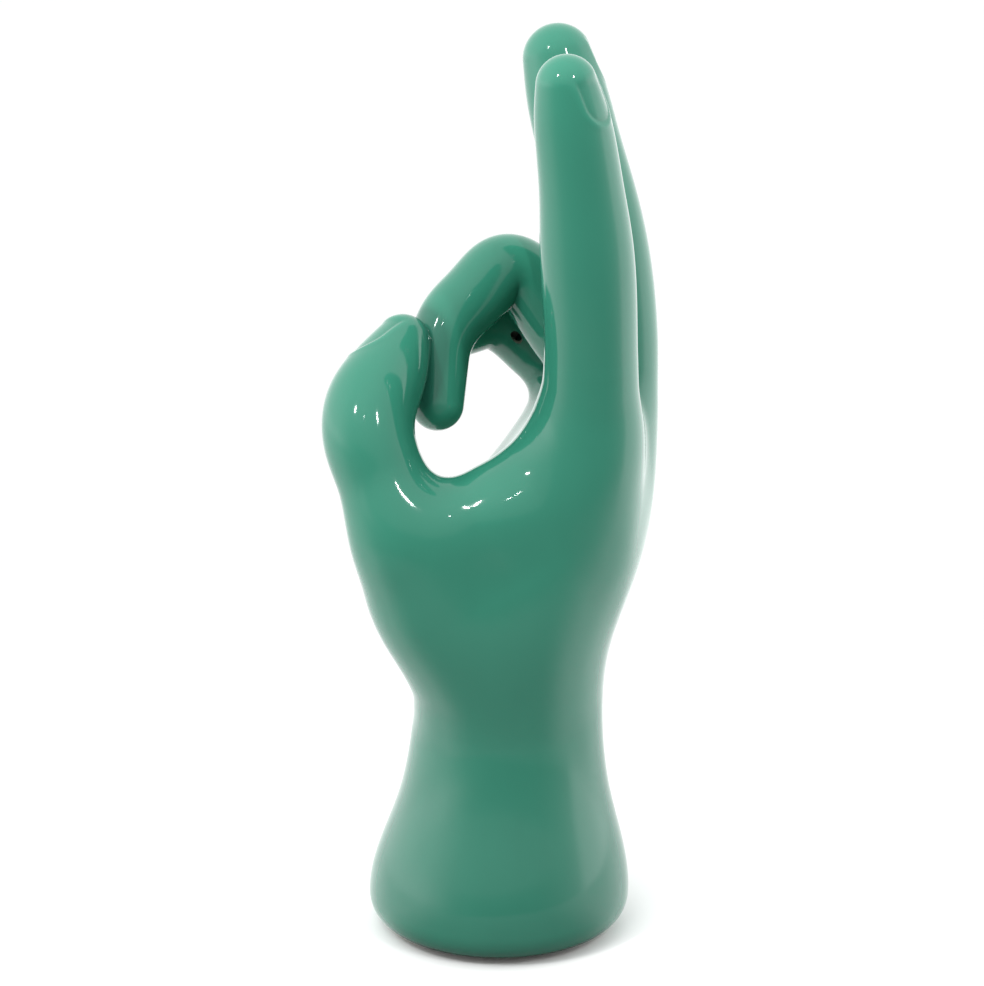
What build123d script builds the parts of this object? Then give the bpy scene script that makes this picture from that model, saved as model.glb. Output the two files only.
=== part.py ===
"""A glazed ceramic hand with two fingers raised, slip cast in six hollow pieces.

The wrist and palm are one casting on a flared foot. The thumb and the four fingers are cast apart
and luted to short stubs of the palm. Four felt pads keep the bare foot off the shelf.

Millimetres. The origin is on the shelf under the middle of the foot. +Z is up, +X is the back of
the hand, -X the palm, -Y the thumb's side and +Y the little finger's side.
"""
import os
from math import cos, radians, sin

from build123d import *

# Casting
WALL = 4.5
FLOOR = 7.0
DRAIN_BORE = 12.0
VENT_BORE = 3.6
VENT_AIM = (-0.2, -0.93, -0.3)

# Foot and its felt pads
FOOT_WIDTH = 77.0
FOOT_DEPTH = 86.0
FOOT_ROUND = 5.0
PAD_DIAMETER = 14.0
PAD_THICKNESS = 1.5
PAD_MARGIN = 3.0

# Wrist and palm, as upright sections: height, middle across, middle in depth, width, depth
HEM = (11.0, 0.0, 0.0, 79.0, 88.0)
FLARE = (40.0, 1.7, 0.0, 65.0, 74.0)
WRIST = (67.0, 2.8, 0.0, 57.0, 66.0)
HEEL = (88.0, 5.5, 0.0, 56.0, 71.0)
PALM = (115.0, 13.5, 1.0, 58.0, 79.0)
KNUCKLES = (146.0, 24.5, 3.0, 42.0, 78.0)
CROWN = (164.0, 30.0, 4.0, 24.0, 62.0)

# Bones of each digit: length, curl towards the palm and sway towards the little finger, in degrees
THUMB_ROOT = (-6.0, -10.0, 78.0)
THUMB_BONES = ((62.0, 24.5, -16.0), (29.5, 14.0, 12.0), (28.0, -28.0, 42.0))
INDEX_ROOT = (22.0, -18.0, 122.0)
INDEX_BONES = ((27.0, -11.0, -10.5), (65.5, 2.5, -11.5), (28.5, 6.5, -10.5), (18.0, 9.0, -10.0))
MIDDLE_ROOT = (26.0, -3.0, 122.0)
MIDDLE_BONES = ((31.0, -13.0, 4.0), (59.0, 1.5, 6.0), (27.5, 13.0, 8.5), (24.5, 16.0, 8.0))
RING_ROOT = (28.0, 20.0, 128.0)
RING_BONES = ((33.0, -13.0, 10.0), (49.0, 39.0, -2.0), (26.0, 125.0, -24.0), (25.0, 168.0, -21.0))
LITTLE_ROOT = (20.0, 33.0, 126.0)
LITTLE_BONES = ((34.0, -6.5, 15.5), (30.0, 46.0, -2.0), (18.5, 112.0, -32.0), (11.0, 156.0, -32.0))

# Radii at the root, halfway along each bone and at each joint
THUMB_RADII = (20.0, 21.0, 15.5, 13.7, 13.1, 12.0, 8.1)
INDEX_RADII = (12.0, 14.0, 14.5, 13.2, 13.1, 12.0, 11.2, 10.4, 8.6)
MIDDLE_RADII = (12.0, 14.0, 14.5, 14.0, 13.6, 13.2, 12.8, 12.2, 10.4)
RING_RADII = (10.5, 12.0, 12.2, 11.4, 11.0, 10.6, 9.8, 8.9, 8.2)
LITTLE_RADII = (9.0, 10.5, 10.8, 9.9, 9.4, 9.0, 8.5, 8.2, 7.8)

# Web between the thumb and the index finger, the edge of the hand below the little finger, and the
# muscle that fills the fork below the web
WEB_ROOT = (-29.0, -26.0, 129.0)
WEB_BONES = ((19.0, -80.0, -2.0), (19.0, -72.0, 6.0), (22.0, -60.0, 6.0))
WEB_RADII = (12.0, 12.0, 12.0, 12.5, 13.0, 13.0, 12.0)
EDGE_ROOT = (2.0, 14.0, 78.0)
EDGE_BONES = ((31.0, 6.0, 22.0), (24.0, -16.0, 10.0), (33.0, -33.0, 14.0))
EDGE_RADII = (14.0, 18.5, 20.0, 19.0, 17.5, 13.5, 9.5)
FORK_ROOT = (4.0, -13.0, 84.0)
FORK_BONES = ((28.0, 6.0, -16.0), (22.0, 2.0, -12.0))
FORK_RADII = (15.0, 17.5, 17.5, 15.5, 13.0)

# Stub of each digit ends halfway along the bone past the knuckle, where the casting is luted on
SEAT = 3

ON_PLANE = (Align.CENTER, Align.CENTER, Align.MIN)


def joints(root, bones):
    """Root, then each joint in turn: a bone's length along the way that its curl and sway give."""
    points = [Vector(*root)]
    for length, curl, sway in bones:
        rise = cos(radians(sway)) * length
        step = Vector(-sin(radians(curl)) * rise, sin(radians(sway)) * length, cos(radians(curl)) * rise)
        points.append(points[-1] + step)
    return points


def stations(root, bones):
    """Planes square to a smooth curve through the joints, at each joint and halfway along each bone."""
    points = joints(root, bones)
    path = Spline(*points)
    at_joint = [path.param_at_point(point) for point in points]
    marks = [at_joint[0]]
    for start, end in zip(at_joint, at_joint[1:]):
        marks += [(start + end) / 2, end]
    planes = []
    for mark in marks:
        along = path % mark
        across = along.cross(Vector(0, 1, 0)).cross(along)
        planes.append(Plane(path @ mark, x_dir=across, z_dir=along))
    return planes


def limb(planes, radii, inset=0.0):
    """Round limb through the planes, drawn in all over by the inset."""
    return loft([plane * Circle(radius - inset) for plane, radius in zip(planes, radii)])


def tipped_limb(planes, radii, inset=0.0):
    """Round limb that ends in a dome."""
    dome = planes[-1] * Sphere(radii[-1] - inset, arc_size1=0, arc_size2=90, align=ON_PLANE)
    return limb(planes, radii, inset) + dome


def column(inset=0.0):
    """Foot, wrist and palm as one smooth column of ellipses, drawn in all over by the inset."""
    foot = (PAD_THICKNESS, 0.0, 0.0, FOOT_WIDTH, FOOT_DEPTH)
    rings = []
    for height, across, deep, width, depth in (foot, HEM, FLARE, WRIST, HEEL, PALM, KNUCKLES, CROWN):
        rings.append(Pos(across, deep, height) * Ellipse(width / 2 - inset, depth / 2 - inset))
    return loft(rings)


MASSES = (
    (stations(WEB_ROOT, WEB_BONES), WEB_RADII),
    (stations(EDGE_ROOT, EDGE_BONES), EDGE_RADII),
    (stations(FORK_ROOT, FORK_BONES), FORK_RADII),
)
DIGITS = {
    "thumb": (stations(THUMB_ROOT, THUMB_BONES), THUMB_RADII),
    "index_finger": (stations(INDEX_ROOT, INDEX_BONES), INDEX_RADII),
    "middle_finger": (stations(MIDDLE_ROOT, MIDDLE_BONES), MIDDLE_RADII),
    "ring_finger": (stations(RING_ROOT, RING_BONES), RING_RADII),
    "little_finger": (stations(LITTLE_ROOT, LITTLE_BONES), LITTLE_RADII),
}


def stub(name, inset=0.0):
    """Root of a digit up to its seat, which belongs to the palm."""
    planes, radii = DIGITS[name]
    return limb(planes[:SEAT + 1], radii[:SEAT + 1], inset)


def skin(name, inset=0.0):
    """Digit past its seat, not yet hollow."""
    planes, radii = DIGITS[name]
    return tipped_limb(planes[SEAT:], radii[SEAT:], inset)


def casting(name):
    """Hollow digit, open at its seat, where its rim is luted to the rim of the stub."""
    return skin(name) - skin(name, WALL)


def hand_body():
    """Foot, wrist and palm with the web, the edge of the hand and the stubs, in one even wall."""
    whole = column()
    body = fillet(whole.faces().sort_by(Axis.Z)[0].edges(), FOOT_ROUND)
    for planes, radii in MASSES:
        body += limb(planes, radii)
    for name in DIGITS:
        body += stub(name)
    hollow = split(column(WALL), bisect_by=Plane.XY.offset(PAD_THICKNESS + FLOOR), keep=Keep.TOP)
    body -= split(hollow, bisect_by=Plane.XY.offset(CROWN[0] - WALL), keep=Keep.BOTTOM)
    for name in DIGITS:
        body -= stub(name, WALL)
    for planes, radii in MASSES:
        body -= limb(planes, radii, WALL)
    return body - Pos(0, 0, PAD_THICKNESS) * Cylinder(DRAIN_BORE / 2, 3 * FLOOR)


def little_finger():
    """Little finger with its vent, a bore from the hollow out to the loop."""
    planes, radii = DIGITS["little_finger"]
    middle = (planes[SEAT].origin + planes[SEAT + 1].origin) / 2
    bore = Cylinder(VENT_BORE / 2, 2 * radii[SEAT], align=ON_PLANE)
    return casting("little_finger") - Plane(middle, z_dir=VENT_AIM) * bore


def felt_pads():
    """Four round pads on the diagonals of the foot, clear of its rounded edge."""
    reach = FOOT_ROUND + PAD_MARGIN + PAD_DIAMETER / 2
    across = (FOOT_WIDTH / 2 - reach) * cos(radians(45))
    deep = (FOOT_DEPTH / 2 - reach) * sin(radians(45))
    pad = Cylinder(PAD_DIAMETER / 2, PAD_THICKNESS, align=ON_PLANE)
    return [Pos(x, y, 0) * pad for x in (-across, across) for y in (-deep, deep)]


pieces = {
    "hand_body": hand_body(),
    "thumb": casting("thumb") - skin("ring_finger"),
    "index_finger": casting("index_finger"),
    "middle_finger": casting("middle_finger") - skin("ring_finger"),
    "ring_finger": casting("ring_finger"),
    "little_finger": little_finger() - skin("ring_finger"),
}
for number, pad in enumerate(felt_pads(), start=1):
    pieces[f"felt_pad_{number}"] = pad

os.makedirs("parts", exist_ok=True)
for name, piece in pieces.items():
    export_step(piece, f"parts/{name}.step")
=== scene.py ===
"""Looks of a glazed ceramic hand, two fingers raised and the others curled down to the thumb.

Shapes are worked out in millimetres, in the frame of the CAD model, and go into the meshes in metres.
+Z is up, +X the back of the hand, -X the palm, -Y the thumb's side and +Y the little finger's side.
"""

import bpy
import numpy as np
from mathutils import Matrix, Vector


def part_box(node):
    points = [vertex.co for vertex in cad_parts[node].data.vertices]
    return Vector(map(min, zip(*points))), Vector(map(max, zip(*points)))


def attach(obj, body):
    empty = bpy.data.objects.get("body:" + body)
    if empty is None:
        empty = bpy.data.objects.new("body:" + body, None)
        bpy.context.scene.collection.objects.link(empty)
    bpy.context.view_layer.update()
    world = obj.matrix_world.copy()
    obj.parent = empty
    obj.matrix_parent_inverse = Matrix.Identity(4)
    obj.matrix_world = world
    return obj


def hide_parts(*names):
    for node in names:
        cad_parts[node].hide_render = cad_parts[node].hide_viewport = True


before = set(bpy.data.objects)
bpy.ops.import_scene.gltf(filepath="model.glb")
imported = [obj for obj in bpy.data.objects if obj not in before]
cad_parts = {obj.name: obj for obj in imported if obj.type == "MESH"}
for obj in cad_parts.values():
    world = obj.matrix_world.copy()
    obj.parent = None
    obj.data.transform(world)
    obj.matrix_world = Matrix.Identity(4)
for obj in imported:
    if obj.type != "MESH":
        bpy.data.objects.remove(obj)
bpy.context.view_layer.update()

# Hand body
# Foot, wrist and palm are one hollow slip casting of white earthenware, with a drain hole in its floor and
# a short stub for each digit. The form is an upright column of ellipses, given as height, middle across,
# middle in depth, width and depth of each, with round limbs melted into it.
FOOT_HEIGHT = 1.5
COLUMN = np.array((
    (FOOT_HEIGHT, 0.0, 0.0, 77.0, 86.0),
    (11.0, 0.0, 0.0, 79.0, 88.0),
    (40.0, 1.7, 0.0, 65.0, 74.0),
    (67.0, 2.8, 0.0, 57.0, 66.0),
    (88.0, 5.5, 0.0, 56.0, 71.0),
    (115.0, 13.5, 1.0, 58.0, 79.0),
    (146.0, 23.5, 3.0, 42.0, 78.0),
    (164.0, 30.0, 4.0, 24.0, 62.0),
))
FOOT_ROUND = 9.0
CROWN_ROUND = 10.0
WALL = 4.5
FLOOR = 7.0
DRAIN_BORE = 12.0
CREASE_HEIGHT = 73.5
CREASE_SLOPE = -0.2
CREASE_MIDDLE = -15.0
CREASE_DEPTH = 0.35
CREASE_WIDTH = 3.6
CREASE_END = -4.0
CREASE_FADE = 16.0


def spline(knots, rows):
    """Natural cubic spline: the smoothest curve through each row at its knot, level in bend at both ends.

    Order 1 asks for its slope and order 2 for its bend.
    """
    knots = np.asarray(knots, float)
    rows = np.asarray(rows, float)
    gap = np.diff(knots)
    count = len(knots)
    matrix = np.eye(count)
    right = np.zeros_like(rows)
    for i in range(1, count - 1):
        matrix[i, i - 1:i + 2] = gap[i - 1], 2 * (gap[i - 1] + gap[i]), gap[i]
        right[i] = 6 * ((rows[i + 1] - rows[i]) / gap[i] - (rows[i] - rows[i - 1]) / gap[i - 1])
    bend = np.linalg.solve(matrix, right)

    def at(place, order=0):
        i = np.clip(np.searchsorted(knots, place) - 1, 0, count - 2)
        wide = gap[i][:, None]
        past = (place - knots[i])[:, None]
        left = (knots[i + 1] - place)[:, None]
        if order == 2:
            return (bend[i] * left + bend[i + 1] * past) / wide
        if order == 1:
            rise = (rows[i + 1] - rows[i]) / wide
            return (bend[i + 1] * past ** 2 - bend[i] * left ** 2) / (2 * wide) + rise \
                - wide * (bend[i + 1] - bend[i]) / 6
        return (bend[i] * left ** 3 + bend[i + 1] * past ** 3) / (6 * wide) \
            + (rows[i] / wide - bend[i] * wide / 6) * left \
            + (rows[i + 1] / wide - bend[i + 1] * wide / 6) * past

    return at


def melt(a, b, reach):
    """Smaller of two distances, with the valley between them filled: less (reach - |a - b|)^2 / 4 reach."""
    fill = np.maximum(reach - np.abs(a - b), 0.0)
    return np.minimum(a, b) - fill ** 2 / (4 * np.maximum(reach, 1e-6))


def trim(a, b, reach):
    """Larger of two distances, with the edge between them rounded off."""
    return -melt(-a, -b, reach)


def ease(x):
    """Rises from 0 to 1 as x does, level at both ends: 3 x^2 - 2 x^3."""
    x = np.clip(x, 0.0, 1.0)
    return x * x * (3 - 2 * x)


def wrist_crease(p):
    """Depth of the crease below the ball of the thumb: a bell across a sloping line, fading to the back."""
    line = CREASE_HEIGHT + CREASE_SLOPE * (p[:, 0] - CREASE_MIDDLE)
    shown = ease((CREASE_END - p[:, 0]) / CREASE_FADE)
    return CREASE_DEPTH * np.exp(-((p[:, 2] - line) / CREASE_WIDTH) ** 2) * shown


ellipse_at = spline(COLUMN[:, 0], COLUMN[:, 1:] * (1.0, 1.0, 0.5, 0.5))


def column(p):
    """Distance to the column: an ellipse's k (k - 1) over its gradient at each height, with ends."""
    height = np.clip(p[:, 2], COLUMN[0, 0], COLUMN[-1, 0])
    middle_x, middle_y, half_x, half_y = ellipse_at(height).T
    x = p[:, 0] - middle_x
    y = p[:, 1] - middle_y
    k = np.sqrt((x / half_x) ** 2 + (y / half_y) ** 2)
    steep = np.sqrt((x / half_x ** 2) ** 2 + (y / half_y ** 2) ** 2)
    side = np.where(steep > 1e-9, k * (k - 1) / np.maximum(steep, 1e-9), -np.minimum(half_x, half_y))
    side = trim(side + wrist_crease(p), p[:, 2] - COLUMN[-1, 0], CROWN_ROUND)
    return trim(side, FOOT_HEIGHT - p[:, 2], FOOT_ROUND)


class Limb:
    """Round limb: a ball carried along a spline through the joints, its radius a spline too.

    Bones are length, curl towards the palm and sway towards the little finger. Radii are at the root,
    halfway along each bone and at each joint. The seat is halfway along the second bone. With a bend, the
    bones stay straight to that far from each joint, and the guide for rays takes the corners wider.
    """
    REACH = 18.0
    SAMPLES = 56
    GUIDE_BEND = 12.0
    GUIDE_MOST = 0.4
    NEWTON_STEPS = 4
    BATCH = 60000

    def __init__(self, root, bones, radii, bend=None):
        joints = [np.array(root, float)]
        for length, curl, sway in bones:
            curl, sway = np.radians((curl, sway))
            way = np.array((-np.sin(curl) * np.cos(sway), np.sin(sway), np.cos(curl) * np.cos(sway)))
            joints.append(joints[-1] + length * way)
        run = np.cumsum([0.0] + [bone[0] for bone in bones])
        marks = np.sort(np.concatenate((run, (run[1:] + run[:-1]) / 2)))
        self.end = run[-1]
        self.seat = marks[3]
        if bend is None:
            self.path = spline(run, joints)
            self.guide = self.path
        else:
            self.path = self.cornered(run, np.array(joints), bend, 1.0)
            self.guide = self.cornered(run, np.array(joints), self.GUIDE_BEND, self.GUIDE_MOST)
        self.radius = spline(marks, np.array(radii)[:, None])
        self.samples = np.linspace(0.0, self.end, self.SAMPLES)
        self.centres = self.path(self.samples)
        self.girths = self.radius(self.samples)[:, 0]
        self.low = (self.centres - self.girths[:, None]).min(0) - self.REACH
        self.high = (self.centres + self.girths[:, None]).max(0) + self.REACH
        self.nail = None

    @staticmethod
    def cornered(run, joints, bend, most):
        """Spline through the middles of the bones and a point on each side of every joint."""
        knots = [0.0]
        for before, here, after in zip(run, run[1:], run[2:]):
            knots += [(before + here) / 2, here - min(bend, most * (here - before)),
                      here + min(bend, most * (after - here))]
        knots += [(run[-2] + run[-1]) / 2, run[-1]]
        return spline(knots, np.stack([np.interp(knots, run, side) for side in joints.T], 1))

    def rough(self, p):
        """Distance of each point to each of the sampled balls."""
        apart = (p ** 2).sum(1)[:, None] + (self.centres ** 2).sum(1) - 2 * p @ self.centres.T
        return np.sqrt(np.maximum(apart, 0.0)) - self.girths

    def nearest(self, p):
        """Place along the path whose ball is nearest: the best sample, then Newton steps."""
        place = self.samples[self.rough(p).argmin(1)]
        for _ in range(self.NEWTON_STEPS):
            away = p - self.path(place)
            way = self.path(place, 1)
            pull = (away * way).sum(1) + self.radius(place, 1)[:, 0] * np.linalg.norm(away, axis=1)
            stiff = (way * way).sum(1)
            stiff = np.maximum(stiff - (away * self.path(place, 2)).sum(1), 0.5 * stiff)
            place = np.clip(place + pull / stiff, 0.0, self.end)
        return place

    def skin(self, p):
        """Distance to the ball nearest to each point, sunk or raised where the nail is."""
        place = self.nearest(p)
        away = np.linalg.norm(p - self.path(place), axis=1)
        return away - self.radius(place)[:, 0] + (nail_relief(p, self.nail) if self.nail else 0.0)

    def stub(self, p):
        """The limb no further than its seat, past which a short spigot goes into the hollow digit."""
        place = np.minimum(self.nearest(p), self.seat + SPIGOT_LENGTH)
        away = np.linalg.norm(p - self.path(place), axis=1)
        return away - self.radius(place)[:, 0] + SPIGOT_STEP * ease((place - self.seat + 0.4) / 1.2)

    def within(self, p, measure):
        """The measure for the points near the limb, and a rough distance for the rest."""
        out = np.full(len(p), 2 * self.REACH)
        inside = np.flatnonzero(((p > self.low) & (p < self.high)).all(1))
        for some in np.array_split(inside, len(inside) // self.BATCH + 1):
            rough = self.rough(p[some]).min(1)
            near = rough < self.REACH
            out[some] = rough
            out[some[near]] = measure(p[some[near]])
        return out

    def __call__(self, p):
        return self.within(p, self.skin)


SPIGOT_LENGTH = 2.5
SPIGOT_STEP = 5.0
WEB = Limb((-27.0, -26.0, 128.0), ((17.0, -82.5, -2.0), (17.9, -65.7, 6.0), (24.6, -40.9, 6.0)),
           (12.0, 12.0, 12.0, 12.0, 12.0, 12.5, 12.5))
EDGE = Limb((2.0, 14.0, 78.0), ((31.0, 6.0, 22.0), (24.0, -33.0, 10.0), (33.0, -19.0, 14.0)),
            (14.0, 18.5, 20.0, 19.0, 17.0, 13.5, 9.5))
FORK = Limb((4.0, -13.0, 84.0), ((28.0, 6.0, -16.0), (22.0, 2.0, -12.0)), (15.0, 17.5, 17.5, 15.5, 13.0))
EDGE_MELT = 14.0
FORK_MELT = 14.0
WEB_MELT = 12.0


def palm(p):
    """Column with the edge of the hand, the muscle below the web and the web melted into it."""
    d = melt(column(p), EDGE(p), EDGE_MELT)
    d = melt(d, FORK(p), FORK_MELT)
    return melt(d, WEB(p), WEB_MELT)


# The five digits, root to tip. The body carries each to its seat, and the rest is a casting of its own.
THUMB = Limb((-4.3, -10.0, 81.0), ((59.5, 27.2, -16.0), (30.0, 18.0, 12.0), (30.0, -30.0, 42.0)),
             (17.4, 20.9, 13.3, 13.0, 13.5, 12.3, 8.4), bend=8.0)
INDEX = Limb((22.0, -18.0, 122.0),
             ((27.0, -6.4, -10.5), (65.5, 0.6, -11.5), (28.5, 6.5, -10.5), (18.0, 9.0, -10.0)),
             (12.0, 14.0, 14.8, 13.4, 13.1, 12.0, 11.2, 10.4, 8.6))
MIDDLE = Limb((25.0, -3.0, 122.0),
              ((31.0, -12.0, 4.0), (59.0, 2.0, 6.0), (27.5, 13.5, 8.5), (24.5, 14.0, 8.0)),
              (12.0, 14.0, 14.2, 13.8, 13.5, 13.0, 12.4, 12.0, 10.4))
RING = Limb((27.0, 20.0, 128.0),
            ((33.0, -12.0, 10.0), (50.5, 37.0, -2.0), (31.0, 132.0, -27.0), (22.8, 177.0, -20.0)),
            (10.5, 12.0, 12.2, 11.2, 10.8, 10.4, 9.6, 8.6, 7.9), bend=6.0)
LITTLE = Limb((20.5, 33.0, 126.8),
              ((34.0, -6.5, 15.5), (33.0, 50.0, -2.0), (20.0, 105.0, -26.0), (14.0, 150.0, -26.0)),
              (9.0, 10.5, 10.8, 9.9, 9.4, 9.0, 8.5, 8.2, 7.8), bend=5.0)
THUMB_MELT = 12.0
FINGER_MELT = 8.0
STUB_MELT = 6.0
MELT_FADE = 16.0
FOOT_EDGE = 0.5
FINGERS = (INDEX, MIDDLE, RING, LITTLE)


def before_seat(limb, p):
    """How far each point is below the plane of a seat."""
    mark = np.array([limb.seat])
    way = limb.path(mark, 1)[0]
    return (limb.path(mark)[0] - p) @ way / np.linalg.norm(way)


def joined(p, thumb, row):
    """Palm, thumb and the row of four fingers melted together, then cut level under the foot."""
    total = row[0]
    fade = before_seat(INDEX, p)
    for limb, finger in zip(FINGERS[1:], row[1:]):
        fade = np.minimum(fade, before_seat(limb, p))
        total = melt(total, finger, STUB_MELT * ease(fade / MELT_FADE))
    d = melt(melt(palm(p), thumb, THUMB_MELT), total, FINGER_MELT)
    return trim(d, FOOT_HEIGHT - p[:, 2], FOOT_EDGE)


def body_skin(p):
    """Palm with the stubs of the five digits."""
    return joined(p, THUMB.within(p, THUMB.stub), [limb.within(p, limb.stub) for limb in FINGERS])


HOLLOW_ROUND = 6.0
DRAIN_ROUND = 1.0
RIM_ROUND = 1.5


def body_casting(p):
    """The body's skin less its hollow, which is the column drawn in by the wall, and the floor's drain."""
    hollow = trim(column(p) + WALL, FOOT_HEIGHT + FLOOR - p[:, 2], HOLLOW_ROUND)
    bore = np.hypot(p[:, 0], p[:, 1]) - DRAIN_BORE / 2
    drain = trim(bore, p[:, 2] - FOOT_HEIGHT - 2 * FLOOR, DRAIN_ROUND)
    return trim(body_skin(p), -melt(hollow, drain, RIM_ROUND), RIM_ROUND)


def whole(p):
    """Palm with the five digits in full."""
    return joined(p, THUMB(p), [limb(p) for limb in FINGERS])


def gradient(field, p, step=0.05):
    """Slope of a field by central differences, made unit length: the way out of the skin."""
    moves = np.eye(3) * step
    slope = np.stack([field(p + move) - field(p - move) for move in moves], axis=1)
    return slope / np.maximum(np.linalg.norm(slope, axis=1, keepdims=True), 1e-9)


POOL_FLAT = 0.5
POOL_MOST = 0.75
POOL_RANGE = 1.5
POOL_NEAR = (2.0, 5.0)


def pooling(p, out):
    """How hollow the skin is round each point: 0.75 in a crease, 0.5 on a flat, 0 on a sharp tip.

    It falls with the skin's distance from points a little way off to four sides, each over the square of
    how far off they are.
    """
    aside = np.cross(out, (0.31, 0.95, 0.05))
    aside /= np.linalg.norm(aside, axis=1, keepdims=True)
    total = np.zeros(len(p))
    for near in POOL_NEAR:
        for way in (aside, np.cross(out, aside)):
            for sign in (-1.0, 1.0):
                total += whole(p + sign * near * way) / near ** 2
    return np.clip(POOL_FLAT - total / POOL_RANGE, 0.0, POOL_MOST)


COARSE = 4
NEAR_SKIN = 8.2
SLIDES = 3


def surface_net(field, low, high, step):
    """Closed skin of a field: in each cell of a grid that it crosses, the mean of its edges' crossings.

    Only cells near the skin are worked out finely: a coarser grid finds them first. Four cells
    round each crossed edge make a face. The points then slide down the gradient onto the skin itself.
    """
    blocks = np.ceil((high - low) / (COARSE * step)).astype(int)
    corner = np.stack(np.meshgrid(*map(np.arange, blocks), indexing="ij"), -1)
    rough = field((low + COARSE * step * (corner + 0.5)).reshape(-1, 3)).reshape(blocks)
    close = np.abs(rough) < NEAR_SKIN * step
    depth = rough
    for axis in range(3):
        depth = depth.repeat(COARSE, axis)
        close = close.repeat(COARSE, axis)
    depth[close] = field(low + step * np.argwhere(close))
    cells = np.array(depth.shape) - 1
    total = np.zeros((*cells, 3))
    count = np.zeros(cells)
    for axis in range(3):
        one, two = (other for other in range(3) if other != axis)
        first = np.take(depth, np.arange(cells[axis]), axis)
        second = np.take(depth, np.arange(1, cells[axis] + 1), axis)
        crossed = (first < 0) != (second < 0)
        share = np.where(crossed, first / np.where(crossed, first - second, 1.0), 0.0)
        for i in (0, 1):
            for j in (0, 1):
                window = [slice(None)] * 3
                window[one] = slice(i, i + cells[one])
                window[two] = slice(j, j + cells[two])
                here = crossed[tuple(window)]
                count += here
                total[..., axis] += here * share[tuple(window)]
                total[..., one] += here * i
                total[..., two] += here * j
    live = count > 0
    number = np.full(live.shape, -1)
    number[live] = np.arange(live.sum())
    points = low + step * (np.argwhere(live) + total[live] / count[live][:, None])
    faces = []
    for axis in range(3):
        one, two = (axis + 1) % 3, (axis + 2) % 3
        lower = [slice(1, -1)] * 3
        upper = [slice(1, -1)] * 3
        lower[axis] = slice(0, -1)
        upper[axis] = slice(1, None)
        inside = depth[tuple(lower)] < 0
        edge = np.argwhere(inside != (depth[tuple(upper)] < 0))
        turned = inside[tuple(edge.T)]
        edge[:, one] += 1
        edge[:, two] += 1
        corners = []
        for back_one, back_two in ((1, 1), (0, 1), (0, 0), (1, 0)):
            cell = edge.copy()
            cell[:, one] -= back_one
            cell[:, two] -= back_two
            corners.append(number[tuple(cell.T)])
        quad = np.stack(corners, 1)
        faces.append(np.where(turned[:, None], quad, quad[:, ::-1]))
    for _ in range(SLIDES):
        points = points - np.clip(field(points), -step, step)[:, None] * gradient(field, points)
    return points, np.concatenate(faces)


def new_piece(name, points, faces, normals, pool, bare):
    """Mesh object in metres, shaded by its field's normals, with pooling and bare clay as attributes."""
    mesh = bpy.data.meshes.new(name)
    mesh.from_pydata(points * 0.001, [], faces)
    mesh.polygons.foreach_set("use_smooth", np.ones(len(mesh.polygons), bool))
    mesh.normals_split_custom_set_from_vertices(normals)
    for label, values in (("pooling", pool), ("bare", bare)):
        mesh.attributes.new(label, "FLOAT", "POINT").data.foreach_set("value", values.astype(np.float32))
    piece = bpy.data.objects.new(name, mesh)
    bpy.context.scene.collection.objects.link(piece)
    return piece


GLAZE_THIN = (0.034, 0.228, 0.152, 1.0)
GLAZE = (0.028, 0.190, 0.126, 1.0)
GLAZE_THICK = (0.020, 0.130, 0.088, 1.0)
CLAY = (0.66, 0.62, 0.55, 1.0)


def new_material(name):
    """Material with its nodes, its links and its shader."""
    material = bpy.data.materials.new(name)
    material.use_nodes = True
    nodes = material.node_tree.nodes
    return material, nodes, material.node_tree.links, nodes["Principled BSDF"]


def new_grain():
    """Node group that roughens a surface: noise of a given scale and relief, as a normal."""
    group = bpy.data.node_groups.new("grain", "ShaderNodeTree")
    group.interface.new_socket("Vector", in_out="INPUT", socket_type="NodeSocketVector")
    group.interface.new_socket("Scale", in_out="INPUT", socket_type="NodeSocketFloat")
    group.interface.new_socket("Strength", in_out="INPUT", socket_type="NodeSocketFloat")
    group.interface.new_socket("Distance", in_out="INPUT", socket_type="NodeSocketFloat")
    group.interface.new_socket("Normal", in_out="OUTPUT", socket_type="NodeSocketVector")
    given = group.nodes.new("NodeGroupInput")
    noise = group.nodes.new("ShaderNodeTexNoise")
    noise.inputs["Detail"].default_value = 2.0
    group.links.new(given.outputs["Vector"], noise.inputs["Vector"])
    group.links.new(given.outputs["Scale"], noise.inputs["Scale"])
    bump = group.nodes.new("ShaderNodeBump")
    group.links.new(noise.outputs["Fac"], bump.inputs["Height"])
    group.links.new(given.outputs["Strength"], bump.inputs["Strength"])
    group.links.new(given.outputs["Distance"], bump.inputs["Distance"])
    result = group.nodes.new("NodeGroupOutput")
    group.links.new(bump.outputs["Normal"], result.inputs["Normal"])
    return group


grain = new_grain()


def add_grain(nodes, links, place, shader, scale, strength, distance):
    """Puts the grain between an object's coordinates and its shader's normal."""
    node = nodes.new("ShaderNodeGroup")
    node.node_tree = grain
    node.inputs["Scale"].default_value = scale
    node.inputs["Strength"].default_value = strength
    node.inputs["Distance"].default_value = distance
    links.new(place.outputs["Object"], node.inputs["Vector"])
    links.new(node.outputs["Normal"], shader.inputs["Normal"])


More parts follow.
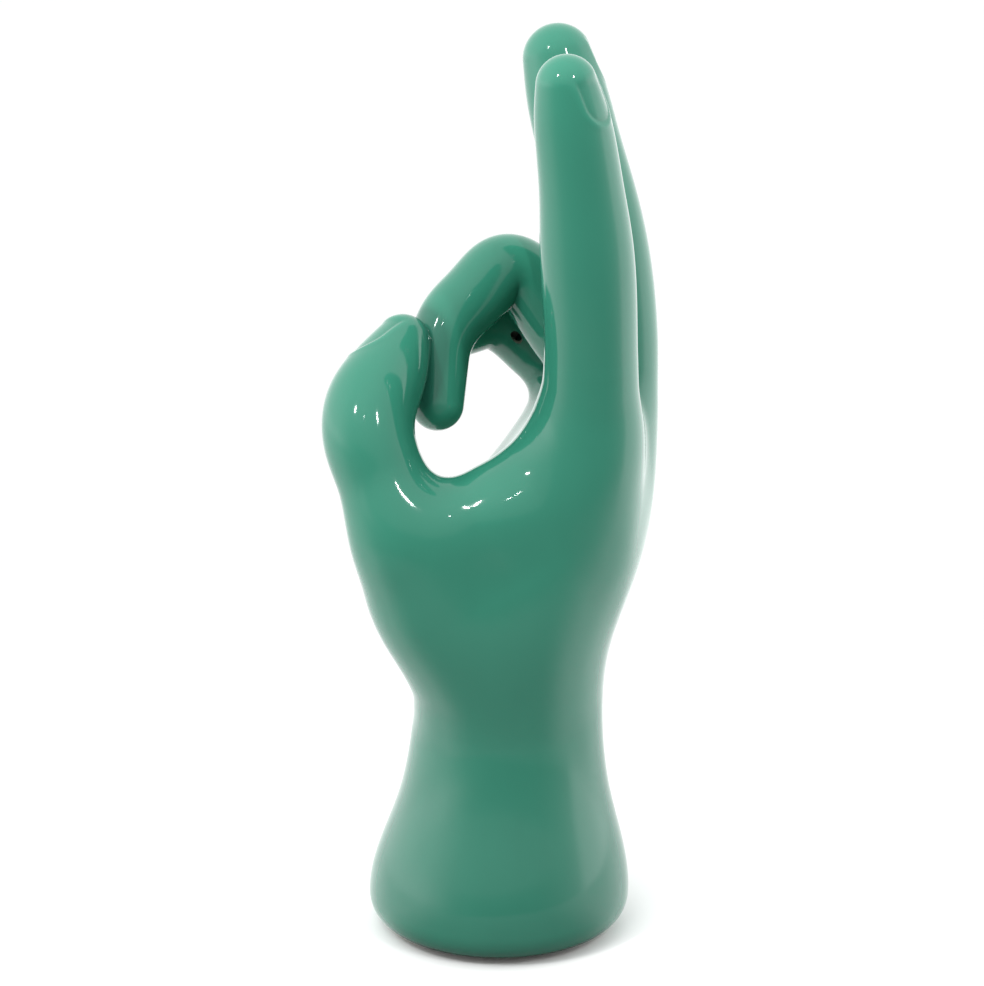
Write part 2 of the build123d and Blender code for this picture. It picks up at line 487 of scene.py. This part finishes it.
# The coat of glaze, dipped: darker where it pools in the creases, thin and pale on tips, with faint runs
# down the sides, and wiped off down to the clay where the skin is bare. Towards the foot the tone is also
# painted
# darker: painted shade, as less light falls low down.
glaze, nodes, links, shader = new_material("teal_glaze")
place = nodes.new("ShaderNodeTexCoord")
pooled = nodes.new("ShaderNodeAttribute")
pooled.attribute_name = "pooling"
cloud = nodes.new("ShaderNodeTexNoise")
cloud.inputs["Scale"].default_value = 38.0
cloud.inputs["Detail"].default_value = 4.0
links.new(place.outputs["Object"], cloud.inputs["Vector"])
drift = nodes.new("ShaderNodeMath")
drift.operation = "MULTIPLY_ADD"
drift.inputs[1].default_value = 0.10
links.new(cloud.outputs["Fac"], drift.inputs[0])
links.new(pooled.outputs["Fac"], drift.inputs[2])
upright = nodes.new("ShaderNodeVectorMath")
upright.operation = "MULTIPLY"
upright.inputs[1].default_value = (1.0, 1.0, 0.07)
links.new(place.outputs["Object"], upright.inputs[0])
runs = nodes.new("ShaderNodeTexNoise")
runs.inputs["Scale"].default_value = 150.0
runs.inputs["Detail"].default_value = 2.0
links.new(upright.outputs["Vector"], runs.inputs["Vector"])
streaked = nodes.new("ShaderNodeMath")
streaked.operation = "MULTIPLY_ADD"
streaked.inputs[1].default_value = 0.05
links.new(runs.outputs["Fac"], streaked.inputs[0])
links.new(drift.outputs[0], streaked.inputs[2])
axes = nodes.new("ShaderNodeSeparateXYZ")
links.new(place.outputs["Object"], axes.inputs[0])
# Painted shade: the glaze tone is pushed darker below 0.11 m, towards the foot, as if less light reached
# it.
painted_shade_low = nodes.new("ShaderNodeMapRange")
painted_shade_low.interpolation_type = "SMOOTHSTEP"
painted_shade_low.inputs["From Max"].default_value = 0.11
painted_shade_low.inputs["To Min"].default_value = 0.22
painted_shade_low.inputs["To Max"].default_value = 0.0
links.new(axes.outputs["Z"], painted_shade_low.inputs["Value"])
thickness_and_shade = nodes.new("ShaderNodeMath")
links.new(streaked.outputs[0], thickness_and_shade.inputs[0])
links.new(painted_shade_low.outputs["Result"], thickness_and_shade.inputs[1])
tone = nodes.new("ShaderNodeValToRGB")
tone.color_ramp.elements[0].position = 0.30
tone.color_ramp.elements[0].color = GLAZE_THIN
tone.color_ramp.elements[1].position = 0.92
tone.color_ramp.elements[1].color = GLAZE_THICK
middle_stop = tone.color_ramp.elements.new(0.58)
middle_stop.color = GLAZE
links.new(thickness_and_shade.outputs[0], tone.inputs["Fac"])
bare_skin = nodes.new("ShaderNodeAttribute")
bare_skin.attribute_name = "bare"
coat = nodes.new("ShaderNodeMix")
coat.data_type = "RGBA"
coat.inputs["B"].default_value = CLAY
links.new(bare_skin.outputs["Fac"], coat.inputs["Factor"])
links.new(tone.outputs["Color"], coat.inputs["A"])
links.new(coat.outputs["Result"], shader.inputs["Base Color"])
gloss = nodes.new("ShaderNodeMapRange")
gloss.inputs["To Min"].default_value = 0.08
gloss.inputs["To Max"].default_value = 0.85
links.new(bare_skin.outputs["Fac"], gloss.inputs["Value"])
links.new(gloss.outputs["Result"], shader.inputs["Roughness"])
add_grain(nodes, links, place, shader, 160.0, 0.03, 0.0006)
shader.inputs["IOR"].default_value = 1.52

BODY_STEP = 1.14
GLAZE_LINE = 1.2
GLAZE_DEPTH = 0.6
BODY_LOW = np.array((-62.0, -62.0, -4.0))
BODY_HIGH = np.array((62.0, 66.0, 200.0))
points, faces = surface_net(body_casting, BODY_LOW, BODY_HIGH, BODY_STEP)
normals = gradient(body_casting, points)
inside = body_skin(points) < -GLAZE_DEPTH
at_drain = np.hypot(points[:, 0], points[:, 1]) < DRAIN_BORE
inside |= at_drain & (points[:, 2] < FOOT_HEIGHT + 2 * FLOOR)
bare = np.where(inside, 1.0, ease((FOOT_HEIGHT + GLAZE_LINE - points[:, 2]) / GLAZE_LINE))
pool = np.full(len(points), POOL_FLAT)
pool[~inside] = pooling(points[~inside], normals[~inside])
hand_body = new_piece("hand_body_casting", points, faces.tolist(), normals, pool, bare)
hand_body.data.materials.append(glaze)
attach(hand_body, "root")
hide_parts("hand_body")


# Thumb
# A hollow casting luted to its stub below the middle joint with slip, its pad pressed on the ring finger.
# The nail is a shallow step carved in the plaster of the mould.
class Nail:
    """Where a nail is: the middle of the tip, the way it points, the back of the finger, and its size."""

    def __init__(self, limb, back, width, setback, length, sink=0.28, fold=0.12):
        self.middle = limb.path(np.array([limb.end]))[0]
        along = limb.path(np.array([limb.end]), 1)[0]
        self.along = along / np.linalg.norm(along)
        back = np.array(back) - np.dot(back, self.along) * self.along
        self.back = back / np.linalg.norm(back)
        self.side = np.cross(self.along, self.back)
        self.half = width / 2
        self.setback = setback
        self.length = length
        self.sink = sink
        self.fold = fold


NAIL_ROOT = 1.1
NAIL_SIDE_FADE = 2.0
NAIL_END_FADE = 3.5
NAIL_EDGE = 1.2
FOLD_WIDTH = 0.9


def nail_relief(p, nail):
    """Depth of the plate in an outline of straight sides and an elliptic root, less the fold round it."""
    from_tip = p - nail.middle
    along = from_tip @ nail.along + nail.setback - NAIL_ROOT * nail.half
    side = from_tip @ nail.side
    root = np.minimum(along, 0.0) / (NAIL_ROOT * nail.half)
    out = (np.sqrt((side / nail.half) ** 2 + root ** 2) - 1) * nail.half
    past = nail.length - nail.setback - from_tip @ nail.along
    shown = ease(from_tip @ nail.back / NAIL_SIDE_FADE) * ease(past / NAIL_END_FADE)
    plate = nail.sink * ease(0.5 - out / NAIL_EDGE)
    fold = nail.fold * np.exp(-((out - FOLD_WIDTH) / FOLD_WIDTH) ** 2)
    return shown * (plate - fold)


PRESS = 0.05


def clear_of_ring(field):
    """The field, stopped just inside the ring finger's skin where a digit presses on it."""
    return lambda p: np.maximum(field(p), -PRESS - RING(p))


def digit_skin(limb, reach):
    """The digit melted into the palm as its stub is."""
    return lambda p: melt(palm(p), limb(p), reach)


LIP = 3.0
LIP_ROWS = 4
LIP_THICKNESS = 0.3
LIP_PROUD = 0.02
TIP_SAMPLES = 14
FAN_ROWS = 24
RAY_STEPS = 7
RAY_TEST = 0.05
LEAST_RISE = 0.4
LEAST_REACH = 0.3


def digit_shell(limb, field, spacing=0.6):
    """Hollow digit on a grid: rays round and along the path, each as long as it takes to reach its level.

    The rows run from the tip over the outside to a thin lip on the stub, and back inside to the tip. At the
    tip the rays fan out over a dome from the path's last point.
    """
    steps = int((limb.end - limb.seat) / spacing)
    around = int(2 * np.pi * limb.girths[-TIP_SAMPLES:].max() / spacing)
    fan = np.linspace(np.pi / 2, 0.0, FAN_ROWS)[1:-1]
    walk = np.linspace(limb.end, limb.seat, steps)
    over = limb.seat - np.linspace(0.5, LIP, LIP_ROWS)
    place = np.concatenate((np.full(len(fan), limb.end), walk, over))
    tilt = np.concatenate((fan, np.zeros(len(walk) + len(over))))
    level = np.where(place < limb.seat + 1.0, LIP_PROUD, 0.0)
    under = limb.seat - np.linspace(LIP - LIP_THICKNESS, 0.0, LIP_ROWS)
    place = np.concatenate((place, under, walk[::-2], np.full(len(fan) // 2, limb.end)))
    tilt = np.concatenate((tilt, np.zeros(len(under) + len(walk[::-2])), fan[::-1][1::2]))
    inside = len(place) - len(level) - len(under)
    level = np.concatenate((level, np.full(len(under), -LIP_THICKNESS), np.full(inside, -WALL)))
    centre = limb.guide(place)
    along = limb.guide(place, 1)
    along /= np.linalg.norm(along, axis=1, keepdims=True)
    across = np.cross((0.0, 1.0, 0.0), along)
    across /= np.linalg.norm(across, axis=1, keepdims=True)
    third = np.cross(along, across)
    turn = np.linspace(0.0, 2 * np.pi, around, endpoint=False)[None, :, None]
    flat = np.cos(turn) * across[:, None] + np.sin(turn) * third[:, None]
    lean = tilt[:, None, None]
    ray = np.cos(lean) * flat + np.sin(lean) * along[:, None]
    tip = np.array((limb.path(np.array([limb.end]))[0],) * 2)
    start = np.concatenate((np.broadcast_to(centre[:, None], ray.shape).reshape(-1, 3), tip))
    ray = np.concatenate((ray.reshape(-1, 3), (along[0],) * 2))
    level = np.concatenate((np.repeat(level, around), (0.0, -WALL)))
    reach = np.repeat(limb.radius(place)[:, 0], around)
    reach = np.concatenate((reach, np.full(2, reach[0]))) + level
    for _ in range(RAY_STEPS):
        value = field(start + reach[:, None] * ray)
        rise = (field(start + (reach + RAY_TEST)[:, None] * ray) - value) / RAY_TEST
        reach = np.maximum(reach - (value - level) / np.maximum(rise, LEAST_RISE), LEAST_REACH)
    points = start + reach[:, None] * ray
    rows = len(place)
    grid = np.arange(rows * around).reshape(rows, around)
    following = np.roll(grid, -1, axis=1)
    quads = np.stack((grid[:-1], grid[1:], following[1:], following[:-1]), -1).reshape(-1, 4)
    outer_pole = np.full(around, rows * around)
    inner_pole = outer_pole + 1
    fans = np.concatenate((np.stack((outer_pole, grid[0], following[0]), -1),
                           np.stack((inner_pole, following[-1], grid[-1]), -1)))
    return points, quads, fans, level > -1.0


def digit_casting(name, limb, field):
    """The digit's mesh, glazed outside and bare clay inside."""
    points, quads, fans, outside = digit_shell(limb, field)
    normals = gradient(field, points)
    normals[~outside] *= -1.0
    pool = np.full(len(points), POOL_FLAT)
    pool[outside] = pooling(points[outside], normals[outside])
    bare = np.where(outside, 0.0, 1.0)
    digit = new_piece(name + "_casting", points, quads.tolist() + fans.tolist(), normals, pool, bare)
    digit.data.materials.append(glaze)
    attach(digit, "root")
    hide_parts(name)
    return digit


THUMB.nail = Nail(THUMB, (-0.8, -0.2, 0.6), width=13.0, setback=13.0, length=17.0)
digit_casting("thumb", THUMB, clear_of_ring(digit_skin(THUMB, THUMB_MELT)))

# Index finger
# A hollow casting, raised, luted to its stub between the knuckle and the middle joint. Its nail is cast in
# as the thumb's is.
INDEX.nail = Nail(INDEX, (0.86, -0.5, 0.0), width=11.0, setback=10.7, length=14.5)
digit_casting("index_finger", INDEX, digit_skin(INDEX, FINGER_MELT))

# Middle finger
# A hollow casting, raised behind the index finger and a little taller, luted to its stub at the same height
# and let in round the ring finger's knuckle.
MIDDLE.nail = Nail(MIDDLE, (0.95, 0.3, 0.0), width=12.5, setback=10.5, length=15.5)
digit_casting("middle_finger", MIDDLE, clear_of_ring(digit_skin(MIDDLE, FINGER_MELT)))

# Ring finger
# A hollow casting, curled right down so that the thumb's pad lies on its last joint. It is luted on before
# the thumb and the little finger, which are let in round it.
RING.nail = Nail(RING, (-0.95, 0.1, -0.1), width=10.5, setback=9.5, length=14.0)
digit_casting("ring_finger", RING, digit_skin(RING, FINGER_MELT))

# Little finger
# A hollow casting, curled beside the ring finger. The small vent pierced in its side while the clay was
# soft lets the air out of the hollow in the kiln, and its bore is bare clay.
LITTLE.nail = Nail(LITTLE, (-0.9, -0.2, -0.3), width=9.5, setback=8.5, length=12.5)
VENT = np.array((5.3, 31.5, 175.2))
VENT_WAY = np.array((0.0, -1.0, 0.0))
VENT_LENGTH = 4.2
VENT_WIDTH = 2.8
VENT_SLANT = np.radians(50.0)
VENT_RINGS = np.array(((4.0, 1.9), (0.25, 1.22), (-0.25, 1.04), (-0.8, 1.0), (-7.5, 1.0)))
VENT_SIDES = 48
VENT_ROOM = 1.3 * VENT_LENGTH / 2
VENT_REACH = 8.0
SKIN_MARGIN = 0.06
BARE_DEPTH = 0.3


def vent_cutter():
    """Tube round the vent's line, oval across, flared at the mouth: height and share of the oval."""
    turn = np.linspace(0.0, 2 * np.pi, VENT_SIDES, endpoint=False)
    long = np.array((-np.cos(VENT_SLANT), 0.0, np.sin(VENT_SLANT)))
    short = np.cross(VENT_WAY, long)
    oval = VENT_LENGTH / 2 * np.cos(turn)[:, None] * long + VENT_WIDTH / 2 * np.sin(turn)[:, None] * short
    height, share = VENT_RINGS.T[:, :, None, None]
    points = VENT + height * VENT_WAY + share * oval
    grid = np.arange(points.size // 3).reshape(len(VENT_RINGS), -1)
    following = np.roll(grid, -1, axis=1)
    sides = np.stack((grid[:-1], grid[1:], following[1:], following[:-1]), -1).reshape(-1, 4)
    faces = sides.tolist() + [grid[0].tolist(), grid[-1][::-1].tolist()]
    mesh = bpy.data.meshes.new("vent_cutter")
    mesh.from_pydata(points.reshape(-1, 3) * 0.001, [], faces)
    cutter = bpy.data.objects.new("vent_cutter", mesh)
    bpy.context.scene.collection.objects.link(cutter)
    return cutter


def pierce(piece, field):
    """Cuts the vent, then sets the normals again: the field's on the skin, each face's own in the bore."""
    cutter = vent_cutter()
    cut = piece.modifiers.new("vent", "BOOLEAN")
    cut.operation = "DIFFERENCE"
    cut.solver = "EXACT"
    cut.object = cutter
    whole_mesh = piece.data
    piece.data = bpy.data.meshes.new_from_object(piece.evaluated_get(bpy.context.evaluated_depsgraph_get()))
    piece.modifiers.clear()
    bpy.data.objects.remove(cutter)
    bpy.data.meshes.remove(whole_mesh)
    mesh = piece.data
    mesh.name = piece.name
    points = np.zeros(3 * len(mesh.vertices))
    mesh.vertices.foreach_get("co", points)
    points = points.reshape(-1, 3) * 1000.0
    depth = field(points)
    away = np.linalg.norm(np.cross(points - VENT, VENT_WAY), axis=1)
    at_vent = (away < VENT_ROOM) & (np.abs((points - VENT) @ VENT_WAY) < VENT_REACH)
    out = gradient(field, points) * np.where(depth > -1.0, 1.0, -1.0)[:, None]
    corners = np.zeros(len(mesh.loops), int)
    mesh.loops.foreach_get("vertex_index", corners)
    counts = np.zeros(len(mesh.polygons), int)
    mesh.polygons.foreach_get("loop_total", counts)
    own = np.zeros(3 * len(mesh.polygons))
    mesh.polygons.foreach_get("normal", own)
    centres = np.zeros(3 * len(mesh.polygons))
    mesh.polygons.foreach_get("center", centres)
    centres = centres.reshape(-1, 3) * 1000.0
    between = field(centres)
    bore = (between < -SKIN_MARGIN) & (between > SKIN_MARGIN - WALL)
    bore &= np.linalg.norm(np.cross(centres - VENT, VENT_WAY), axis=1) < VENT_ROOM
    bore_corner = np.repeat(bore, counts)
    normals = np.where(bore_corner[:, None], np.repeat(own.reshape(-1, 3), counts, axis=0), out[corners])
    mesh.normals_split_custom_set(normals)
    in_bore = at_vent & (depth < -BARE_DEPTH)
    for label, value, there in (("pooling", POOL_FLAT, at_vent), ("bare", 1.0, in_bore)):
        kept = np.zeros(len(points), np.float32)
        mesh.attributes[label].data.foreach_get("value", kept)
        kept[there] = value
        mesh.attributes[label].data.foreach_set("value", kept)


little_skin = clear_of_ring(digit_skin(LITTLE, FINGER_MELT))
pierce(digit_casting("little_finger", LITTLE, little_skin), little_skin)

# Felt pads
# Four round pads punched from pressed grey felt and stuck under the bare foot, so that the casting stands
# level and does not scratch the shelf.
FELT = (0.075, 0.075, 0.078, 1.0)
FELT_PALE = (0.17, 0.17, 0.175, 1.0)
PAD_RADIUS = 7.0
PAD_SIDES = 48
PAD_PROFILE = np.array(((0.45, 0.0), (0.85, 0.0), (0.955, 0.04), (0.99, 0.2), (1.0, 0.5), (0.99, 0.8),
                        (0.955, 0.96), (0.85, 1.0), (0.45, 1.0)))
felt, nodes, links, shader = new_material("pressed_felt")
place = nodes.new("ShaderNodeTexCoord")
fibres = nodes.new("ShaderNodeTexNoise")
fibres.inputs["Scale"].default_value = 900.0
fibres.inputs["Detail"].default_value = 3.0
links.new(place.outputs["Object"], fibres.inputs["Vector"])
flecks = nodes.new("ShaderNodeValToRGB")
flecks.color_ramp.elements[0].color = FELT
flecks.color_ramp.elements[1].color = FELT_PALE
links.new(fibres.outputs["Fac"], flecks.inputs["Fac"])
links.new(flecks.outputs["Color"], shader.inputs["Base Color"])
shader.inputs["Roughness"].default_value = 0.95
add_grain(nodes, links, place, shader, 1400.0, 0.6, 0.0003)
for number in range(1, 5):
    name = "felt_pad_" + str(number)
    pad_low, pad_high = (1000.0 * np.array(corner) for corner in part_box(name))
    turn = np.linspace(0.0, 2 * np.pi, PAD_SIDES, endpoint=False)
    circle = PAD_RADIUS * np.stack((np.cos(turn), np.sin(turn), np.zeros(PAD_SIDES)), 1)
    middle = np.append((pad_low + pad_high)[:2] / 2, pad_low[2])
    rise = PAD_PROFILE[:, 1] * (pad_high[2] - pad_low[2])
    points = middle + PAD_PROFILE[:, 0][:, None, None] * circle + rise[:, None, None] * (0.0, 0.0, 1.0)
    grid = np.arange(points.size // 3).reshape(len(rise), -1)
    following = np.roll(grid, -1, axis=1)
    sides = np.stack((grid[:-1], following[:-1], following[1:], grid[1:]), -1).reshape(-1, 4)
    faces = sides.tolist() + [grid[0][::-1].tolist(), grid[-1].tolist()]
    mesh = bpy.data.meshes.new(name + "_disc")
    mesh.from_pydata(points.reshape(-1, 3) * 0.001, [], faces)
    mesh.polygons.foreach_set("use_smooth", np.ones(len(mesh.polygons), bool))
    mesh.materials.append(felt)
    pad = bpy.data.objects.new(name + "_disc", mesh)
    bpy.context.scene.collection.objects.link(pad)
    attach(pad, "root")
    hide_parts(name)

# Floor, light and camera
# A pale floor that fades into a white room, seen from the thumb's side and a little above. The camera sees
# the floor evenly pale, but for all other rays its front is painted dark: painted shade that cuts the light
# bounced up onto the hand, and a painted dark reflection in the glaze. The glaze mirrors the room: dim
# behind the camera, with bright walls at the sides and a pale ceiling.
FLOOR_PALE = 0.93
FLOOR_FRONT_SHADE = 0.30
FLOOR_REACH = 0.42
FLOOR_FADE = 0.22
FLOOR_SIDES = 96
turn = np.linspace(0.0, 2 * np.pi, FLOOR_SIDES, endpoint=False)
floor_mesh = bpy.data.meshes.new("floor")
floor_edge = FLOOR_REACH * np.stack((np.cos(turn), np.sin(turn), np.zeros(FLOOR_SIDES)), 1)
floor_mesh.from_pydata(floor_edge, [], [list(range(FLOOR_SIDES))])
floor = bpy.data.objects.new("floor", floor_mesh)
bpy.context.scene.collection.objects.link(floor)
pale, nodes, links, shader = new_material("pale_floor")
shader.inputs["Roughness"].default_value = 0.6
shader.inputs["Specular IOR Level"].default_value = 0.1
place = nodes.new("ShaderNodeTexCoord")
axes = nodes.new("ShaderNodeSeparateXYZ")
links.new(place.outputs["Object"], axes.inputs[0])
from_middle = nodes.new("ShaderNodeVectorMath")
from_middle.operation = "LENGTH"
links.new(place.outputs["Object"], from_middle.inputs[0])
backward = nodes.new("ShaderNodeMath")
backward.operation = "DIVIDE"
links.new(axes.outputs["Y"], backward.inputs[0])
links.new(from_middle.outputs["Value"], backward.inputs[1])
# Painted shade and painted reflection: the floor is dark at its front, towards the camera, for every ray
# but the camera's own.
mirrored = nodes.new("ShaderNodeMapRange")
mirrored.interpolation_type = "SMOOTHSTEP"
mirrored.inputs["From Min"].default_value = -0.85
mirrored.inputs["From Max"].default_value = -0.15
mirrored.inputs["To Min"].default_value = FLOOR_FRONT_SHADE
mirrored.inputs["To Max"].default_value = FLOOR_PALE
links.new(backward.outputs[0], mirrored.inputs["Value"])
sight = nodes.new("ShaderNodeLightPath")
pale_only_to_camera = nodes.new("ShaderNodeMix")
pale_only_to_camera.inputs["B"].default_value = FLOOR_PALE
links.new(sight.outputs["Is Camera Ray"], pale_only_to_camera.inputs["Factor"])
links.new(mirrored.outputs["Result"], pale_only_to_camera.inputs["A"])
links.new(pale_only_to_camera.outputs["Result"], shader.inputs["Base Color"])
fading = nodes.new("ShaderNodeMapRange")
fading.interpolation_type = "SMOOTHSTEP"
fading.inputs["From Min"].default_value = FLOOR_FADE
fading.inputs["From Max"].default_value = FLOOR_REACH
fading.inputs["To Min"].default_value = 1.0
fading.inputs["To Max"].default_value = 0.0
links.new(from_middle.outputs["Value"], fading.inputs["Value"])
links.new(fading.outputs["Result"], shader.inputs["Alpha"])
floor_mesh.materials.append(pale)

# Brightness of the room above and below the eye, by the turn to the right from the camera, in degrees.
ROOM = ((-180, 0.55), (-120, 0.80), (-88, 1.0), (-70, 0.80), (-48, 0.22), (-22, 0.11), (36, 0.11),
        (60, 0.25), (80, 0.45), (90, 1.0), (135, 0.85), (180, 0.55))
LOW_ROOM = ((-180, 0.55), (-110, 0.65), (-80, 0.50), (-58, 0.20), (-22, 0.11), (36, 0.11), (60, 0.20),
            (80, 0.40), (90, 0.95), (135, 0.80), (180, 0.55))
CEILING = 0.48
BACKDROP = 0.42
EYE_LEVEL = ((0.45, 0.0), (0.51, 1.0))
HIGH = ((0.5, 0.0), (0.55, 0.05), (0.59, 0.25), (0.90, 1.0))
ROOM_LIGHT = 2.4
world = bpy.data.worlds.new("studio")
world.use_nodes = True
nodes = world.node_tree.nodes
links = world.node_tree.links
toward = nodes.new("ShaderNodeTexCoord")
axes = nodes.new("ShaderNodeSeparateXYZ")
links.new(toward.outputs["Generated"], axes.inputs[0])
front = nodes.new("ShaderNodeMath")
front.operation = "MULTIPLY"
front.inputs[1].default_value = -1.0
links.new(axes.outputs["Y"], front.inputs[0])
turned = nodes.new("ShaderNodeMath")
turned.operation = "ARCTAN2"
links.new(axes.outputs["X"], turned.inputs[0])
links.new(front.outputs[0], turned.inputs[1])
share = nodes.new("ShaderNodeMath")
share.operation = "MULTIPLY_ADD"
share.inputs[1].default_value = 0.5 / np.pi
share.inputs[2].default_value = 0.5
links.new(turned.outputs[0], share.inputs[0])


def grey_ramp(stops, value):
    """Colour ramp of greys at the given positions, with soft turns."""
    ramp = nodes.new("ShaderNodeValToRGB")
    ramp.color_ramp.interpolation = "B_SPLINE"
    ramp.color_ramp.elements.remove(ramp.color_ramp.elements[1])
    for number, (position, bright) in enumerate(stops):
        stop = ramp.color_ramp.elements.new(position) if number else ramp.color_ramp.elements[0]
        stop.position = position
        stop.color = (bright, bright, bright, 1.0)
    links.new(value, ramp.inputs["Fac"])
    return ramp.outputs["Color"]


def blend(share, first, second):
    """One colour turning into another as the share rises from 0 to 1."""
    mix = nodes.new("ShaderNodeMix")
    mix.data_type = "RGBA"
    links.new(share, mix.inputs["Factor"])
    links.new(first, mix.inputs["A"])
    if isinstance(second, float):
        mix.inputs["B"].default_value = (second, second, second, 1.0)
    else:
        links.new(second, mix.inputs["B"])
    return mix.outputs["Result"]


height = nodes.new("ShaderNodeMapRange")
height.inputs["From Min"].default_value = -1.0
links.new(axes.outputs["Z"], height.inputs["Value"])
low_walls = grey_ramp([(turn / 360.0 + 0.5, bright) for turn, bright in LOW_ROOM], share.outputs[0])
walls = grey_ramp([(turn / 360.0 + 0.5, bright) for turn, bright in ROOM], share.outputs[0])
room = blend(grey_ramp(EYE_LEVEL, height.outputs["Result"]), low_walls, walls)
room = blend(grey_ramp(HIGH, height.outputs["Result"]), room, CEILING)
sight = nodes.new("ShaderNodeLightPath")
room = blend(sight.outputs["Is Camera Ray"], room, BACKDROP)
links.new(room, nodes["Background"].inputs["Color"])
nodes["Background"].inputs["Strength"].default_value = ROOM_LIGHT
bpy.context.scene.world = world
bpy.context.scene.view_settings.view_transform = "Standard"


def aim(thing, target):
    """Turns a camera or a lamp so that it looks at the target."""
    way = np.array(target) - np.array(thing.location)
    flat = np.hypot(way[0], way[1])
    thing.rotation_euler = (np.pi / 2 + np.arctan2(way[2], flat), 0.0, np.arctan2(-way[0], way[1]))


LIT_POINT = (0.0, 0.0, 0.14)


def softbox(name, place, size, power, mirrored=True):
    """Rectangular lamp aimed at the hand, which the camera never sees and the glaze may mirror."""
    lamp = bpy.data.lights.new(name, "AREA")
    lamp.shape = "RECTANGLE"
    lamp.size, lamp.size_y = size
    lamp.energy = power
    box = bpy.data.objects.new(name, lamp)
    box.location = place
    box.visible_glossy = mirrored
    box.visible_camera = False
    aim(box, LIT_POINT)
    bpy.context.scene.collection.objects.link(box)


softbox("key_light", (-1.0, -1.2, 1.5), (0.05, 0.22), 9.0)
softbox("fill_light", (0.7, -1.3, 1.25), (0.05, 0.22), 6.0)
softbox("small_light", (-0.25, -1.4, 1.25), (0.03, 0.03), 0.4)
softbox("top_light", (-0.2, -0.4, 0.55), (0.3, 0.3), 1.5, mirrored=False)

TARGET = np.array((-0.00214, 0.0, 0.13375))
CAMERA_DISTANCE = 0.9
CAMERA_RISE = np.radians(12.5)
PHOTO_HEIGHT = 986
FOCAL_PIXELS = 3030.3
lens = bpy.data.cameras.new("camera")
lens.lens = FOCAL_PIXELS * lens.sensor_width / PHOTO_HEIGHT
camera = bpy.data.objects.new("camera", lens)
camera.location = TARGET + CAMERA_DISTANCE * np.array((0.0, -np.cos(CAMERA_RISE), np.sin(CAMERA_RISE)))
aim(camera, TARGET)
bpy.context.scene.collection.objects.link(camera)
bpy.context.scene.camera = camera
